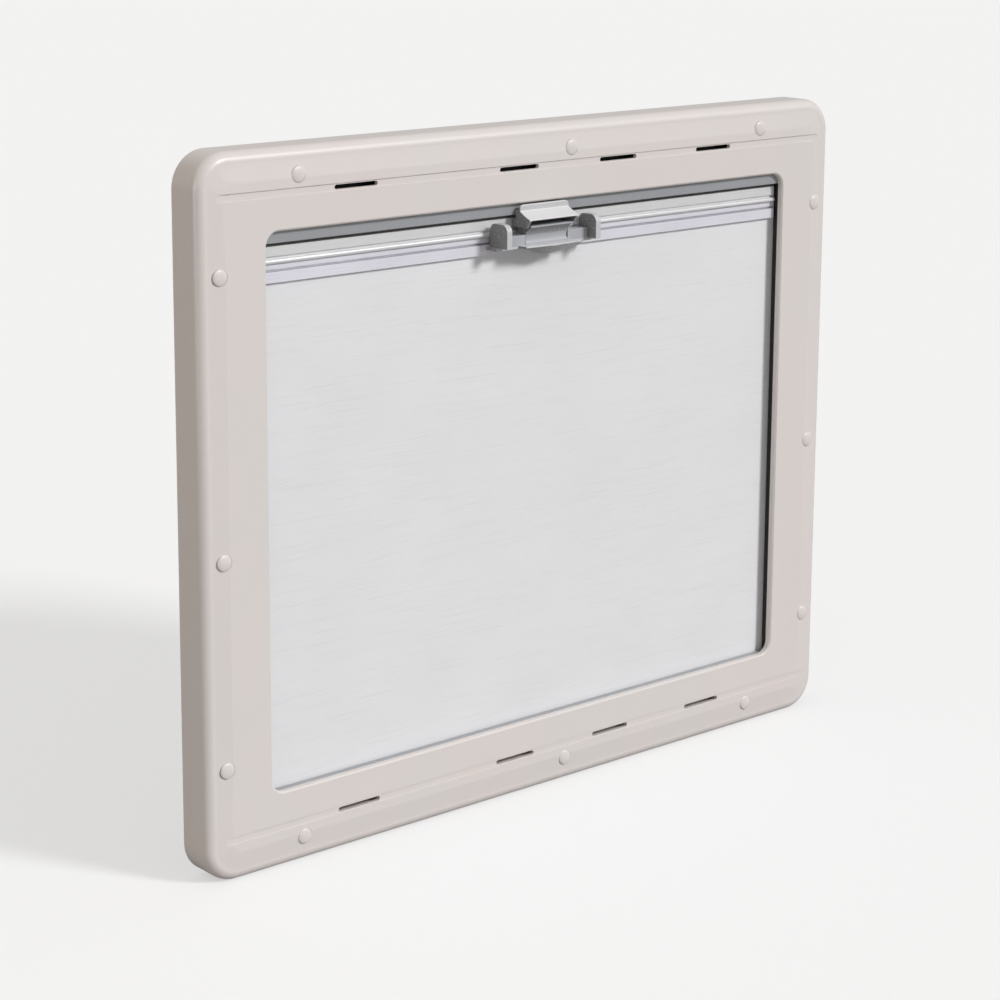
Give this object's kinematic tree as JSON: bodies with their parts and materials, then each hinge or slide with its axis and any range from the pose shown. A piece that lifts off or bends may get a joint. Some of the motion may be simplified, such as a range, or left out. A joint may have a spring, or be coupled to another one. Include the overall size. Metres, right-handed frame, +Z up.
{
  "type": "caravan window inner frame with roller blind and flyscreen",
  "caption": "Moulded inner frame of a caravan window with rounded corners, capped screw places, vent slots, a raised roller blind, a flyscreen and a twin centre catch.",
  "frame": {"origin": "middle of the bottom run of the flat back rim, on the plane that lies against the wall", "axes": "+X to the right seen from the room, +Y from the room into the wall, +Z up; the front face looks along -Y"},
  "size_m": [0.64, 0.046, 0.535],
  "materials": {
    "frame": "satin",
    "cap": "satin",
    "vent": "matte",
    "cassette": "satin",
    "bracket": "satin",
    "roller": "satin",
    "guide": "matte",
    "brush": "matte",
    "rail": "satin",
    "mesh": "matte",
    "cloth": "matte",
    "catch": "satin"
  },
  "bodies": {
    "root": {"front_bezel": "frame", "screw_caps_top": "cap", "screw_caps_bottom": "cap", "screw_caps_left": "cap", "screw_caps_right": "cap", "vent_channel_top": "vent", "vent_channel_bottom": "vent", "flyscreen_cassette": "cassette", "blind_cassette": "cassette", "flyscreen_bracket_left": "bracket", "flyscreen_bracket_right": "bracket", "blind_bracket_left": "bracket", "blind_bracket_right": "bracket", "flyscreen_roller": "roller", "blind_roller": "roller", "guide_rail_left": "guide", "guide_rail_right": "guide", "brush_seal_left": "brush", "brush_seal_right": "brush", "flyscreen_rail": "rail", "blind_rail": "rail", "flyscreen_rail_cap_left": "bracket", "flyscreen_rail_cap_right": "bracket", "blind_rail_cap_left": "bracket", "blind_rail_cap_right": "bracket", "flyscreen_mesh": "mesh", "blind_fabric": "cloth", "catch_base": "catch", "blind_grip": "catch", "flyscreen_tab": "catch"}
  },
  "joints": []
}
